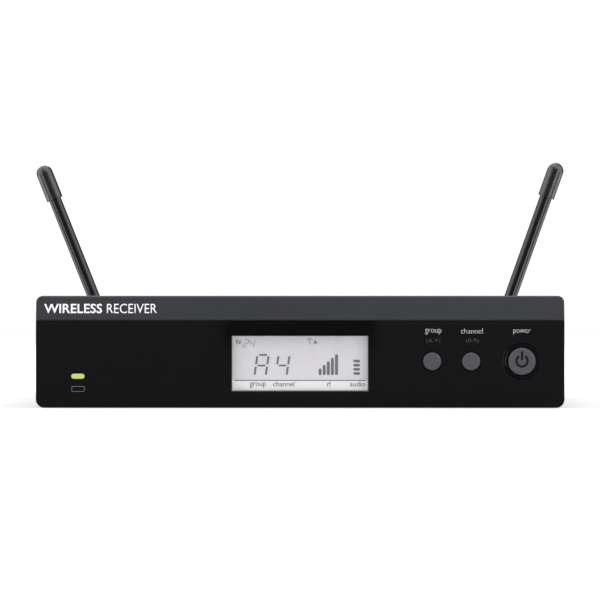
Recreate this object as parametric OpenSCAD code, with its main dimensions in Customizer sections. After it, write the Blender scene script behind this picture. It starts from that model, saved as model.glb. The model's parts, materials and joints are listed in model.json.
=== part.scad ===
// Half-rack wireless receiver: a folded steel case behind a moulded front bezel, with a segment
// display, a battery light, three push buttons and two quarter-wave antennas on bayonet jacks.
// Frame: +X to the right as seen from the front, +Y to the rear, +Z up.
// The origin is the centre of the outline, on the surface that the feet stand on.

/* [Case] */
// Width of the front bezel
bezel_w = 197; // [194:1:204]
// Overall height, from the feet to the top of the bezel
unit_h = 42; // [41:0.5:44]
// Depth from the front panel's face to the rear panel's outer face
body_d = 151; // [145:1:165]
// Depth of the moulded front bezel
bezel_d = 14; // [14:0.5:16]
// Thickness of the folded steel sheet
sheet = 1.0; // [0.8:0.1:1.2]
// Thickness of the rubber feet, which lift the case off the table
foot_h = 1.3; // [1:0.1:1.6]

/* [Front] */
// Height of the line where the glossy panel meets the matte upper strip
strip_z = 32.9; // [31:0.1:34]
// Distance that the upper strip leans back from its foot to its top
strip_lean = 1.6; // [0.5:0.1:2.5]
// Width of the display window
lcd_w = 50.9; // [46:0.1:54]
// Height of the display window
lcd_h = 20.7; // [18:0.1:22]
// Diameter of the group and channel buttons
button_d = 6.7; // [6:0.1:7.5]
// Diameter of the power button
power_d = 10.1; // [9:0.1:11]
// How far the power button stands out of the panel
power_proud = 1.0; // [0.6:0.1:1.4]

/* [Antennas] */
// Distance of each antenna jack from the centre line
jack_x = 80.7; // [79:0.1:82]
// Height of the antenna jacks' axes above the table
jack_z = 20.5; // [19.5:0.1:21.5]
// Outward lean of the left antenna at rest, in degrees from upright
left_lean = 21.7; // [0:0.1:60]
// Outward lean of the right antenna at rest, in degrees from upright
right_lean = 19.6; // [0:0.1:60]
// Distance from the jack's axis to the centre of the antenna's round end
antenna_l = 79.4; // [70:0.1:120]
// Diameter of the antenna rod
rod_d = 5.25; // [4:0.05:5.5]
// Diameter of the antenna's cap
tip_d = 7.0; // [6.5:0.1:8]

/* [Hidden] */
$fn = 64;

clear = 0.05;      // gap around parts that are pushed or moulded into each other
slack = 1;         // how far a cutting shape runs past the face that it cuts
bezel_lift = 0.3;  // the bezel's lower edge clears the table by this much

// Depth stations, front to rear
plug_reach = 26;   // the antenna elbows end this far behind the rear panel
face_y = (power_proud - body_d - plug_reach) / 2;
panel_t = 2;
seat_y = face_y + panel_t;          // where the glossy panel is bonded to the bezel
web_y = seat_y + 2;                 // rear face of the bezel's front wall
board_y = face_y + 11.6;            // front face of the control board
board_t = 1.6;
joint_y = face_y + bezel_d;         // bezel meets case
rear_y = face_y + body_d;           // outer face of the rear panel
rear_in = rear_y - sheet;           // inner face of the rear panel

// Case
corner_low = 3;
corner_high = 2.5;
bezel_wall = 2.2;
case_x = bezel_w / 2 - 2;           // outer face of the tray's side walls
case_top = unit_h - 0.5;            // outer face of the top cover
tray_top = case_top - sheet;
floor_z = foot_h + sheet;           // inner face of the tray's floor
lip_h = 7;                          // height of the cover's side lips
lip_screw_z = tray_top - 3.5;
top_screw = [60, rear_in - 4];
flange_w = 8;
flange_screw_z = 10;
foot_at = [82, -58, 48];            // x, front y, rear y
rack_y = [joint_y + 12, joint_y + 42];
rack_z = [12, 30];
rack_r = 1.65;                      // tapped M4 hole
m3_r = 1.5;
m3_clear_r = 1.6;
m3_head_r = 2.75;

// Front layout
lcd_z = 16.65;
led_at = [-82.8, 12.0];
led_size = [5.0, 1.9];
button_z = 17.5;
group_x = 49.2;
channel_x = 63.7;
power_x = 82.6;
button_gap = 0.35;
dish_r = 7.0;                       // concave dish in the panel, round the power button
dish_depth = 0.9;
button_proud = 0.8;
collar_w = 1.2;                     // a button's collar is this much wider than its cap
collar_t = 1;
stem_r = 1.9;
flange_gap = 0.4;                   // from the bezel's front wall to a button's collar
plunger_y = face_y + 6.9;
plunger_r = 1.7;
switch_y = face_y + 8.2;
switch_half = 3;
corner_boss = [bezel_w / 2 - 6.4, 7, unit_h - 7];
corner_boss_r = 3.6;
board_post = [73, 8, 31];
board_post_r = 2.6;
board_screw_r = 1.1;
control_half = 88;
control_z = [3.6, unit_h - 5.6];
tray_window = [control_half - 2.5, 5, unit_h - 5];

// Display, front to rear: window, two glasses, light block
glass_margin = [1.8, 2.0];          // how far the glass runs past the window
glass_t = 1.1;
glass_gap = 0.2;
ledge_h = 2.4;                      // contact ledge at the foot of the rear glass
light_t = 3;
frame_margin = [4.4, 3.5];          // the holder's outside past the window
frame_bore = [2.0, 2.2];            // the holder's inside past the window
contact_h = 1.6;

// Boards
pcb_z = floor_z + 6;
pcb_top = pcb_z + board_t;
pcb_half = 90;
standoff_screw_r = 1.2;
can_wall = 0.4;
chip_h = 1.4;
plug_z = 14;                        // height of the flat cable's upper socket
plug_h = 2.8;
plug_half = 13;
lower_plug_y = joint_y + 10;
standoffs = [[-84, -58], [84, -58], [-84, 36], [84, 36], [0, -4], [4, 50]];

// Rear connectors: x and z of each axis
xlr_at = [-22, 20.6];
xlr_bore_r = 8.15;
xlr_barrel_r = 10.9;
xlr_depth = 14;
xlr_flange = 26;
xlr_flange_t = 1.6;
xlr_pin_circle_r = 4.4;
xlr_pin_r = 1.2;
xlr_screw_off = [9.5, 9.2];
phone_at = [-52, 19.9];
phone_r = 3.25;
bushing_r = 5.5;
bushing_in = 4;                     // how far the bushing sits inside its housing
bushing_out = 5.5;
dc_at = [58, 15.6];
dc_r = 4.4;
dc_bore_r = 3.15;
dc_depth = 9.5;
hook_at = [40, 21];

// Bayonet jack and plug, as distances behind the rear panel
barrel_r = 4.8;
barrel_bore_r = 4.06;
barrel_root = 10.5;                 // the barrel and its insulator start this far inside
jack_mouth = 12.5;
contact_r = 1.05;
contact_reach = 10.9;
insulator_step = 3.2;
insulator_reach = 11.3;
lug_y = 7.3;
lug_r = 1.0;
lug_reach = 5.5;
nut_from = 4.4;
nut_to = 15.4;
nut_r = 7.25;
groove_r = 5.7;
elbow_face = nut_to + 0.2;
elbow_r = (plug_reach - elbow_face) / 2;
rod_y = rear_y + plug_reach - elbow_r;
dielectric_r = 2.35;
sleeve_r = 4.0;
sleeve_bore_r = 2.45;
sleeve_from = 3.5;
shoulder = [13, 14.3];              // the plug's collar, inside the nut
shoulder_r = 5.3;
neck_r = 4.3;                       // the plug's root, pressed into the elbow
neck_to = 17;
spigot_r = 1.7;                     // the elbow's spigot, which carries the centre pin
spigot_from = 12.9;
pin_r = 0.68;
tip_from = antenna_l - 11.7;
rod_from = 4;

// Shifts the case off centre, so that the origin is the middle of the whole outline
middle_x = antenna_l / 2 * (sin(left_lean) - sin(right_lean));

// ---------- helpers ----------

// Box between two opposite corners
module block(low, high) {
    translate(low) cube(high - low);
}

// Outline drawn in X and Z, made solid between two depths
module along_y(y0, y1) {
    translate([0, y1, 0]) rotate([90, 0, 0]) linear_extrude(y1 - y0) children();
}

// Outline drawn in Y and Z, made solid between two X places
module along_x(x0, x1) {
    translate([x0, 0, 0]) rotate([90, 0, 90]) linear_extrude(x1 - x0) children();
}

// Round bar along Y
module bar_y(at, r, y0, y1) {
    translate([at[0], y0, at[1]]) rotate([-90, 0, 0]) cylinder(h = y1 - y0, r = r);
}

// Cone along Y, from r0 at y0 to r1 at y1
module cone_y(at, r0, r1, y0, y1) {
    translate([at[0], y0, at[1]]) rotate([-90, 0, 0]) cylinder(h = y1 - y0, r1 = r0, r2 = r1);
}

// Tube along Y
module tube_y(at, r_out, r_in, y0, y1) {
    difference() {
        bar_y(at, r_out, y0, y1);
        bar_y(at, r_in, y0 - slack, y1 + slack);
    }
}

// Rectangle with its own corner radius at the bottom and at the top
module rounded(w, z0, z1, r_low, r_high) {
    translate([-w / 2, z0 + r_low]) square([w, z1 - r_high - z0 - r_low]);
    translate([r_low - w / 2, z0]) square([w - 2 * r_low, 2 * r_low]);
    translate([r_high - w / 2, z1 - 2 * r_high]) square([w - 2 * r_high, 2 * r_high]);
    for (s = [-1, 1]) {
        translate([s * (w / 2 - r_low), z0 + r_low]) circle(r_low);
        translate([s * (w / 2 - r_high), z1 - r_high]) circle(r_high);
    }
}

// Slot with round ends, centred
module slot(w, h) {
    translate([(h - w) / 2, -h / 2]) square([w - h, h]);
    for (s = [-1, 1]) translate([s * (w - h) / 2, 0]) circle(h / 2);
}

// Gear-like ring outline for a knurled grip
module knurl(r, depth, teeth) {
    polygon([for (i = [0 : 2 * teeth - 1])
        let (a = 180 * i / teeth, d = i % 2 == 0 ? r : r - depth) [d * cos(a), d * sin(a)]]);
}

// Cross recess in a screw head whose face is at z = 0
module cross_recess(size, depth) {
    for (a = [0, 90]) rotate([0, 0, a])
        translate([-size / 2, -0.3, -depth]) cube([size, 0.6, depth + slack]);
}

// Flush countersunk M3 screw pointing down, head face at z = 0
module flat_screw(length) {
    difference() {
        union() {
            translate([0, 0, -sheet]) cylinder(h = sheet, r1 = m3_r, r2 = m3_head_r);
            translate([0, 0, -length]) cylinder(h = length - sheet, r = m3_r);
        }
        cross_recess(3, 0.6);
    }
}

// The hole that flat_screw needs: a countersink in the first sheet, then a clear hole
module flat_screw_hole(length) {
    translate([0, 0, -sheet]) cylinder(h = sheet, r1 = m3_clear_r, r2 = m3_head_r + 0.1);
    translate([0, 0, -length]) cylinder(h = length, r = m3_clear_r);
}

// Pan-head screw pointing down, with the underside of its head at z = 0
module pan_screw(r, head_r, head_h, length) {
    difference() {
        union() {
            cylinder(h = head_h, r1 = head_r, r2 = head_r * 0.8);
            translate([0, 0, -length]) cylinder(h = length, r = r);
        }
        translate([0, 0, head_h]) cross_recess(head_r, head_h / 2);
    }
}

// Places a Z-up part at a depth, pointing its +Z towards the front (-1) or the rear (+1)
module facing(at, y, way) {
    translate([at[0], y, at[1]]) rotate([-90 * way, 0, 0]) children();
}

// Each place where a flush screw holds the case together
module case_screw_places() {
    for (s = [-1, 1]) {
        for (y = [joint_y + 18, rear_y - 18])
            translate([s * (case_x + sheet), y, lip_screw_z]) rotate([0, 90 * s, 0]) children();
        translate([s * case_x, rear_in - 4, flange_screw_z]) rotate([0, 90 * s, 0]) children();
        translate([s * top_screw[0], top_screw[1], case_top]) children();
    }
}

// Each place where a screw joins the bezel to the tray
module corner_places() {
    for (s = [-1, 1], z = [corner_boss[1], corner_boss[2]])
        translate([s * corner_boss[0], 0, z]) children();
}

module board_post_places() {
    for (s = [-1, 1], z = [board_post[1], board_post[2]])
        translate([s * board_post[0], 0, z]) children();
}

// The antenna's own frame: origin on the jack's axis, +Z up the rod
module in_antenna(side) {
    lean = side < 0 ? left_lean : right_lean;
    translate([side * jack_x, 0, jack_z]) rotate([0, side * lean, 0]) children();
}

// ---------- front ----------

// Side view of the bezel: a rebate for the glossy panel under a strip that leans back
module bezel_side() {
    round_r = 0.8;
    top = [face_y + strip_lean + round_r, unit_h - round_r];
    lean_a = atan(strip_lean / (unit_h - strip_z));
    polygon(concat(
        [[joint_y, 0], [seat_y, 0], [seat_y, strip_z], [face_y, strip_z]],
        [for (a = [180 - lean_a : -20 : 90]) top + round_r * [cos(a), sin(a)]],
        [[top[0], unit_h], [joint_y, unit_h]]));
}

module front_openings(grow) {
    translate(led_at) slot(led_size[0] + 2 * grow, led_size[1] + 2 * grow);
    for (x = [group_x, channel_x]) translate([x, button_z]) circle(button_d / 2 + button_gap);
    translate([power_x, button_z]) circle(power_d / 2 + button_gap);
}

module front_bezel() {
    color([0.25, 0.25, 0.27]) difference() {
        union() {
            difference() {
                intersection() {
                    along_y(face_y - slack, joint_y)
                        rounded(bezel_w, bezel_lift, unit_h, corner_low, corner_high);
                    along_x(-bezel_w, bezel_w) bezel_side();
                }
                along_y(web_y, joint_y + slack)
                    rounded(bezel_w - 2 * bezel_wall, bezel_lift + bezel_wall, unit_h - bezel_wall, 1, 1);
            }
            corner_places() bar_y([0, 0], corner_boss_r, web_y - 0.5, joint_y);
            board_post_places() bar_y([0, 0], board_post_r, web_y - 0.5, board_y);
        }
        along_y(seat_y - slack, web_y + slack) {
            translate([-lcd_w / 2 - 2.2, lcd_z - lcd_h / 2 - 2.4]) square([lcd_w + 4.4, lcd_h + 4.8]);
            front_openings(2 * clear);
        }
        corner_places() bar_y([0, 0], m3_r - clear, web_y + 1, joint_y + slack);
        board_post_places() bar_y([0, 0], board_screw_r, web_y + 1, board_y + slack);
    }
}

module front_panel() {
    color([0.06, 0.06, 0.065]) difference() {
        along_y(face_y, seat_y) difference() {
            rounded(bezel_w, bezel_lift, unit_h, corner_low, corner_high);
            translate([-bezel_w, strip_z - clear]) square([2 * bezel_w, unit_h]);
            translate([-lcd_w / 2, lcd_z - lcd_h / 2]) square([lcd_w, lcd_h]);
            front_openings(0);
        }
        power_dish();
    }
}

// Concave ring: steep at its rim, flat where it meets the button's hole
module power_dish() {
    hole_r = power_d / 2 + button_gap;
    facing([power_x, button_z], face_y, 1) rotate_extrude() polygon(concat(
        [[0, -slack], [dish_r, -slack]],
        [for (a = [0 : 15 : 90]) [hole_r + (dish_r - hole_r) * cos(a), dish_depth * sin(a)]],
        [[0, dish_depth]]));
}

module display_window() {
    size = [lcd_w, lcd_h] - 2 * [clear, clear];
    color([0.8, 0.8, 0.82, 0.2]) along_y(face_y + clear, seat_y - clear)
        translate([-size[0] / 2, lcd_z - size[1] / 2]) square(size);
}

// Two bonded glasses; the rear one is longer below, for the contacts
module lcd_glass() {
    w = lcd_w / 2 + glass_margin[0];
    h = lcd_h / 2 + glass_margin[1];
    y = seat_y + glass_gap;
    color([0.78, 0.78, 0.8]) union() {
        block([-w, y, lcd_z - h + ledge_h], [w, y + glass_t, lcd_z + h]);
        block([-w, y + glass_t, lcd_z - h], [w, y + 2 * glass_t, lcd_z + h]);
    }
}

module lcd_backlight() {
    w = lcd_w / 2 + glass_margin[0] - glass_gap;
    y = seat_y + 2 * (glass_gap + glass_t);
    color([0.9, 0.92, 0.9])
        block([-w, y, lcd_z - lcd_h / 2 + 0.6], [w, y + light_t, lcd_z + lcd_h / 2 + contact_h]);
}

module lcd_frame() {
    out = [lcd_w, lcd_h] / 2 + frame_margin;
    in = [lcd_w, lcd_h] / 2 + frame_bore;
    color([0.92, 0.92, 0.9]) difference() {
        block([-out[0], web_y + 0.5, lcd_z - out[1]], [out[0], board_y, lcd_z + out[1]]);
        block([-in[0], web_y, lcd_z - in[1]], [in[0], board_y + slack, lcd_z + in[1]]);
    }
}

module lcd_contact_strip() {
    z = lcd_z - lcd_h / 2 - 1.8;
    half = lcd_w / 2 - 2;
    y = seat_y + glass_gap + 2 * glass_t;
    color([0.85, 0.5, 0.55]) block([-half, y, z], [half, board_y, z + contact_h]);
}

module led_light_pipe() {
    size = led_size - 2 * [clear, clear];
    collar = led_size + [3, 2.4];
    color([0.72, 0.85, 0.3]) union() {
        along_y(face_y, board_y - 1.2) translate(led_at) slot(size[0], size[1]);
        along_y(web_y + clear, web_y + 1.2) translate(led_at) slot(collar[0], collar[1]);
    }
}

module status_led() {
    half = [1.6, 0.8];
    color("white") block([led_at[0] - half[0], board_y - 1, led_at[1] - half[1]],
        [led_at[0] + half[0], board_y, led_at[1] + half[1]]);
}

module control_board() {
    color([0.05, 0.3, 0.15]) difference() {
        block([-control_half, board_y, control_z[0]], [control_half, board_y + board_t, control_z[1]]);
        board_post_places() bar_y([0, 0], board_screw_r + 0.2, board_y - slack, board_y + board_t + slack);
    }
}

module control_board_screws() {
    color("silver") board_post_places()
        facing([0, 0], board_y + board_t, 1) pan_screw(board_screw_r - clear, 2.2, 1.5, 7);
}

module tact_switches() {
    color([0.1, 0.1, 0.1]) for (x = [group_x, channel_x, power_x]) difference() {
        block([x - switch_half, switch_y, button_z - switch_half],
            [x + switch_half, board_y, button_z + switch_half]);
        bar_y([x, button_z], plunger_r + clear, switch_y - slack, board_y - 0.8);
    }
}

// A button: a cap through the panel, a collar that keeps it in, and a stem onto its switch
module push_button(x, d, proud) {
    at = [x, button_z];
    rim = 0.3;
    collar_y = web_y + flange_gap;
    color([0.35, 0.36, 0.38]) union() {
        cone_y(at, d / 2 - rim, d / 2, face_y - proud, face_y - proud + rim);
        bar_y(at, d / 2, face_y - proud + rim, collar_y);
        bar_y(at, d / 2 + collar_w, collar_y, collar_y + collar_t);
        bar_y(at, stem_r, collar_y + collar_t, plunger_y);
    }
}

module switch_plunger(x) {
    color([0.15, 0.15, 0.15]) bar_y([x, button_z], plunger_r, plunger_y, switch_y + 1.4);
}

// ---------- case ----------

module bezel_screws() {
    color("silver") corner_places()
        facing([0, 0], joint_y + sheet, 1) pan_screw(m3_r - 2 * clear, 2.8, 2, 8);
}

module chassis_tray() {
    color([0.1, 0.1, 0.105]) difference() {
        union() {
            block([-case_x, joint_y, foot_h], [case_x, rear_y, floor_z]);
            for (s = [-1, 1]) translate([s * (case_x - sheet / 2), 0, 0])
                block([-sheet / 2, joint_y, foot_h], [sheet / 2, rear_y, tray_top]);
            block([-case_x, joint_y, foot_h], [case_x, joint_y + sheet, tray_top]);
        }
        block([-tray_window[0], joint_y - slack, tray_window[1]],
            [tray_window[0], joint_y + sheet + slack, tray_window[2]]);
        corner_places() bar_y([0, 0], m3_clear_r, joint_y - slack, joint_y + sheet + slack);
        rack_places() translate([0, 0, -10]) cylinder(h = 20, r = rack_r);
        case_screw_places() flat_screw_hole(6);
    }
}

// Centre of each side hole for a rack bracket, on the tray's outer face
module rack_places() {
    for (s = [-1, 1], y = rack_y, z = rack_z)
        translate([s * case_x, y, z]) rotate([0, 90 * s, 0]) children();
}

module rack_nuts() {
    t = 3;
    color("silver") rack_places() translate([0, 0, -sheet - t]) difference() {
        cylinder(h = t, r = 4.2, $fn = 6);
        translate([0, 0, -slack]) cylinder(h = t + 2 * slack, r = rack_r);
    }
}

module rear_panel() {
    in_x = case_x - sheet;
    color([0.1, 0.1, 0.105]) difference() {
        union() {
            block([-in_x, rear_in, floor_z], [in_x, rear_y, tray_top]);
            block([-in_x, rear_in - flange_w, tray_top - sheet], [in_x, rear_in, tray_top]);
            for (s = [-1, 1]) translate([s * (in_x - sheet / 2), 0, 0])
                block([-sheet / 2, rear_in - flange_w, floor_z], [sheet / 2, rear_in, tray_top]);
        }
        for (s = [-1, 1])
            bar_y([s * jack_x, jack_z], barrel_r + 3 * clear, rear_in - slack, rear_y + slack);
        bar_y(xlr_at, xlr_barrel_r + 2 * clear, rear_in - slack, rear_y + slack);
        for (s = [-1, 1]) bar_y(xlr_at + s * xlr_screw_off, m3_clear_r, rear_in - slack, rear_y + slack);
        bar_y(phone_at, bushing_r + 3 * clear, rear_in - slack, rear_y + slack);
        bar_y(dc_at, dc_r + 2 * clear, rear_in - slack, rear_y + slack);
        case_screw_places() flat_screw_hole(6);
    }
}

module top_cover() {
    color([0.1, 0.1, 0.105]) difference() {
        union() {
            block([-case_x - sheet, joint_y, tray_top], [case_x + sheet, rear_y, case_top]);
            for (s = [-1, 1]) translate([s * (case_x + sheet / 2), 0, 0])
                block([-sheet / 2, joint_y, case_top - lip_h], [sheet / 2, rear_y, case_top]);
        }
        case_screw_places() flat_screw_hole(6);
    }
}

module case_screws() {
    color([0.15, 0.15, 0.15]) case_screw_places() flat_screw(5.5);
}

module rubber_feet() {
    r = 6.5;
    edge = 0.5;
    color([0.04, 0.04, 0.04]) for (s = [-1, 1], y = [foot_at[1], foot_at[2]])
        translate([s * foot_at[0], y, 0])
            rotate_extrude() polygon([[0, 0], [r - edge, 0], [r, edge], [r, foot_h], [0, foot_h]]);
}

// ---------- boards ----------

module main_board() {
    color([0.05, 0.3, 0.15]) difference() {
        block([-pcb_half, joint_y + 7, pcb_z], [pcb_half, rear_in - 1, pcb_top]);
        for (p = standoffs) translate([p[0], p[1], pcb_z - slack])
            cylinder(h = board_t + 2 * slack, r = standoff_screw_r + 0.2);
    }
}

module board_standoffs() {
    color("silver") for (p = standoffs) translate([p[0], p[1], floor_z]) difference() {
        cylinder(h = pcb_z - floor_z, r = 3, $fn = 6);
        translate([0, 0, 1]) cylinder(h = pcb_z, r = standoff_screw_r + clear);
    }
}

module main_board_screws() {
    color("silver") for (p = standoffs)
        translate([p[0], p[1], pcb_top]) pan_screw(standoff_screw_r, 2.6, 1.7, 5.5);
}

// A pressed can with an open underside
module shield_can(low, size) {
    inside = [size[0] - 2 * can_wall, size[1] - 2 * can_wall, size[2] - can_wall + slack];
    translate([low[0], low[1], pcb_top]) difference() {
        cube(size);
        translate([can_wall, can_wall, -slack]) cube(inside);
    }
}

module shield_cans() {
    color([0.75, 0.76, 0.78]) {
        for (x = [-76, 44]) shield_can([x, -8], [32, 36, 7]);
        shield_can([-26, -52], [38, 34, 5]);
    }
}

// Each can has a rolled groove near its foot. Places are x, y and radius
module capacitors() {
    places = [[30, 32, 4], [40, 40, 4], [20, 44, 3.2], [-2, 34, 3.2], [-40, -30, 3.2], [30, -40, 4]];
    groove = [1.2, 1.8];
    groove_depth = 0.4;
    can_h = 9.8;
    color([0.12, 0.12, 0.3]) for (c = places) translate([c[0], c[1], pcb_top]) {
        cylinder(h = groove[0], r = c[2]);
        translate([0, 0, groove[0]]) cylinder(h = groove[1] - groove[0], r = c[2] - groove_depth);
        translate([0, 0, groove[1]]) cylinder(h = can_h - groove[1], r = c[2]);
    }
}

// Places are x, y, width and depth
module ic_packages() {
    chips = [[-60, -40, 10, 10], [50, -38, 8, 8], [-30, 10, 7, 9], [12, 14, 9, 6], [-8, -8, 5, 5]];
    color([0.08, 0.08, 0.08]) for (c = chips) translate([c[0], c[1], pcb_top]) cube([c[2], c[3], chip_h]);
}

// Voltage regulator standing against a finned heat sink
module regulator() {
    size = 16;
    plate_t = 1.6;
    fin = [1.2, 5];
    pitch = (size - fin[0]) / 4;
    package = [10, 3, 9];
    color([0.2, 0.2, 0.22]) translate([62, 34, pcb_top]) {
        cube([size, plate_t, size]);
        for (i = [0 : 4]) translate([i * pitch, plate_t - 0.1, 0]) cube([fin[0], fin[1], size]);
        translate([(size - package[0]) / 2, -package[1], 3]) cube(package);
    }
}

module ribbon_connectors() {
    color([0.9, 0.88, 0.8]) {
        block([-plug_half, board_y + board_t, plug_z - 2],
            [plug_half, board_y + board_t + plug_h, plug_z + 2]);
        block([-plug_half, lower_plug_y, pcb_top], [plug_half, lower_plug_y + 4, pcb_top + 4]);
    }
}

// Flat cable that bends from the control board down to the main board
module ribbon_cable() {
    start = board_y + board_t + plug_h;
    run = lower_plug_y - start;
    drop = plug_z - pcb_top - 2;
    steps = 8;
    thickness = 0.3;
    half = 10;
    mid = [for (i = [0 : steps])
        [start + run * i / steps, plug_z - drop * (1 - cos(180 * i / steps)) / 2]];
    color([0.85, 0.85, 0.88]) along_x(-half, half)
        polygon(concat(mid, [for (i = [steps : -1 : 0]) mid[i] - [0, thickness]]));
}

// ---------- rear connectors ----------

module jack_housings() {
    half = 7.2;
    color([0.12, 0.12, 0.12]) for (s = [-1, 1]) {
        at = [s * jack_x, jack_z];
        difference() {
            block([at[0] - half, rear_in - 15, pcb_top], [at[0] + half, rear_in, at[1] + half]);
            bar_y(at, barrel_r + clear, rear_y - barrel_root - 0.5, rear_y);
            bar_y(at, contact_r + 3 * clear, rear_in - 13, rear_y);
        }
    }
}

// Threaded barrel with the two bayonet lugs
module jack_barrels() {
    color([0.75, 0.75, 0.75]) for (s = [-1, 1]) {
        at = [s * jack_x, jack_z];
        difference() {
            union() {
                bar_y(at, barrel_r, rear_y - barrel_root, rear_y + jack_mouth);
                translate([at[0], rear_y + lug_y, at[1] - lug_reach])
                    cylinder(h = 2 * lug_reach, r = lug_r);
            }
            bar_y(at, barrel_bore_r, rear_y - 12, rear_y + jack_mouth + slack);
        }
    }
}

module jack_dielectrics() {
    color("white") for (s = [-1, 1]) {
        at = [s * jack_x, jack_z];
        difference() {
            union() {
                bar_y(at, barrel_bore_r - clear, rear_y - barrel_root, rear_y + insulator_step);
                bar_y(at, dielectric_r, rear_y + insulator_step, rear_y + insulator_reach);
            }
            bar_y(at, contact_r + clear, rear_y - 12, rear_y + 12);
        }
    }
}

module jack_contacts() {
    color([0.85, 0.7, 0.3]) for (s = [-1, 1]) difference() {
        bar_y([s * jack_x, jack_z], contact_r, rear_y - 13, rear_y + contact_reach);
        bar_y([s * jack_x, jack_z], pin_r + clear, rear_y + 4, rear_y + 12);
    }
}

// Hex nut over a lock washer, outside the rear panel
module panel_nut(at, bore, across, t) {
    washer = 0.6;
    tube_y(at, across / 2 + 1, bore, rear_y, rear_y + washer);
    difference() {
        translate([at[0], rear_y + washer, at[1]]) rotate([-90, 0, 0])
            cylinder(h = t, r = across / 2 / cos(30), $fn = 6);
        bar_y(at, bore, rear_y, rear_y + washer + t + slack);
    }
}

module jack_nuts() {
    color([0.75, 0.75, 0.75]) for (s = [-1, 1])
        panel_nut([s * jack_x, jack_z], barrel_r + clear, 12.7, 2.4);
}

module xlr_housing() {
    floor_y = rear_y - xlr_depth;
    body = 11.7;
    half = xlr_flange / 2;
    key = [1.2, 7.4];               // half width, and distance of its inner face from the axis
    face = rear_y + xlr_flange_t;
    color([0.07, 0.07, 0.07]) difference() {
        union() {
            block([xlr_at[0] - body, rear_in - 20, pcb_top], [xlr_at[0] + body, rear_in, xlr_at[1] + half]);
            bar_y(xlr_at, xlr_barrel_r, rear_in - slack, rear_y + slack);
            along_y(rear_y, face) translate([xlr_at[0], xlr_at[1] - half])
                rounded(xlr_flange, 0, xlr_flange, 3, 3);
        }
        difference() {
            bar_y(xlr_at, xlr_bore_r, floor_y, face + slack);
            block([xlr_at[0] - key[0], floor_y, xlr_at[1] + key[1]],
                [xlr_at[0] + key[0], rear_y - 2, xlr_at[1] + xlr_bore_r + slack]);
        }
        for (a = [30, 150, 270]) bar_y(xlr_pin_at(a), xlr_pin_r + clear, rear_in - 18, rear_y);
        for (s = [-1, 1]) facing(xlr_at + s * xlr_screw_off, face, 1) flat_screw_hole(12);
    }
}

function xlr_pin_at(a) = xlr_at + xlr_pin_circle_r * [cos(a), sin(a)];

module xlr_pins() {
    point = 0.6;
    end = rear_y - 1;
    color([0.8, 0.8, 0.78]) for (a = [30, 150, 270]) {
        bar_y(xlr_pin_at(a), xlr_pin_r, rear_in - 17.5, end - point);
        cone_y(xlr_pin_at(a), xlr_pin_r, xlr_pin_r - 0.5, end - point, end);
    }
}

module xlr_screws() {
    color([0.15, 0.15, 0.15]) for (s = [-1, 1])
        facing(xlr_at + s * xlr_screw_off, rear_y + xlr_flange_t, 1) flat_screw(9);
}

module phone_jack_housing() {
    back = rear_in - 24;
    wall = 2;
    cavity_r = 4.2;
    color([0.08, 0.08, 0.08]) difference() {
        block([phone_at[0] - 8, back, pcb_top], [phone_at[0] + 8, rear_in, phone_at[1] + 9]);
        bar_y(phone_at, bushing_r + clear, rear_in - bushing_in, rear_y);
        bar_y(phone_at, cavity_r, back + wall, rear_y);
        for (s = [-1, 1]) translate([phone_at[0] + s * (cavity_r + 0.4), 0, phone_at[1]])
            block([-0.8, back + wall, -2], [0.8, rear_in - bushing_in - 1, 2]);
    }
}

module phone_jack_bushing() {
    color([0.75, 0.75, 0.75])
        tube_y(phone_at, bushing_r, phone_r, rear_in - bushing_in + clear, rear_y + bushing_out);
}

module phone_jack_nut() {
    color([0.75, 0.75, 0.75]) panel_nut(phone_at, bushing_r + clear, 14, 2.2);
}

// Two springs whose bent middles press on the plug
module phone_jack_contacts() {
    leaf = 0.4;
    root = [4.9, rear_in - 21];
    bend = [3.75, rear_in - 14];
    end = [4.7, rear_in - 6];
    outline = [root, bend, end, end - [leaf, 0], bend - [leaf, 0], root - [leaf, 0]];
    color([0.8, 0.65, 0.3]) for (s = [-1, 1]) translate([phone_at[0], 0, phone_at[1] - 1.6])
        linear_extrude(3.2) polygon([for (p = outline) [s * p[0], p[1]]]);
}

module dc_jack_housing() {
    color([0.06, 0.06, 0.06]) difference() {
        union() {
            block([dc_at[0] - 4.8, rear_in - 13.5, pcb_top], [dc_at[0] + 4.8, rear_in, dc_at[1] + 5.4]);
            bar_y(dc_at, dc_r, rear_in - slack, rear_y + 0.6);
        }
        bar_y(dc_at, dc_bore_r, rear_y - dc_depth, rear_y + slack);
    }
}

module dc_jack_pin() {
    color([0.8, 0.8, 0.78]) bar_y(dc_at, 1.0, rear_y - dc_depth, rear_y - 0.5);
}

// Open hook that a supply lead is looped over, so that a pull doesn't reach the jack
module cord_hook() {
    plate_t = 1.5;
    reach = 8.5;
    arm_t = 2.2;
    half = 3;
    color([0.06, 0.06, 0.06]) translate([hook_at[0], rear_y, hook_at[1]]) {
        block([-4, 0, -6], [4, plate_t, 9]);
        block([-half, plate_t, -4], [half, reach, -1]);
        block([-half, reach - arm_t, -1], [half, reach, 7]);
    }
}

// ---------- antennas ----------

module rod(side) {
    color([0.07, 0.07, 0.075]) in_antenna(side)
        translate([0, rod_y, rod_from]) cylinder(h = tip_from + 8 - rod_from, r = rod_d / 2);
}

// Rubbery cap with a round end
module tip(side) {
    color([0.1, 0.1, 0.105]) in_antenna(side) translate([0, rod_y, 0]) difference() {
        union() {
            translate([0, 0, tip_from]) cylinder(h = antenna_l - tip_from, r = tip_d / 2);
            translate([0, 0, antenna_l]) sphere(tip_d / 2);
        }
        translate([0, 0, tip_from - slack]) cylinder(h = 8.1 + slack, r = rod_d / 2 + clear);
    }
}

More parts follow.
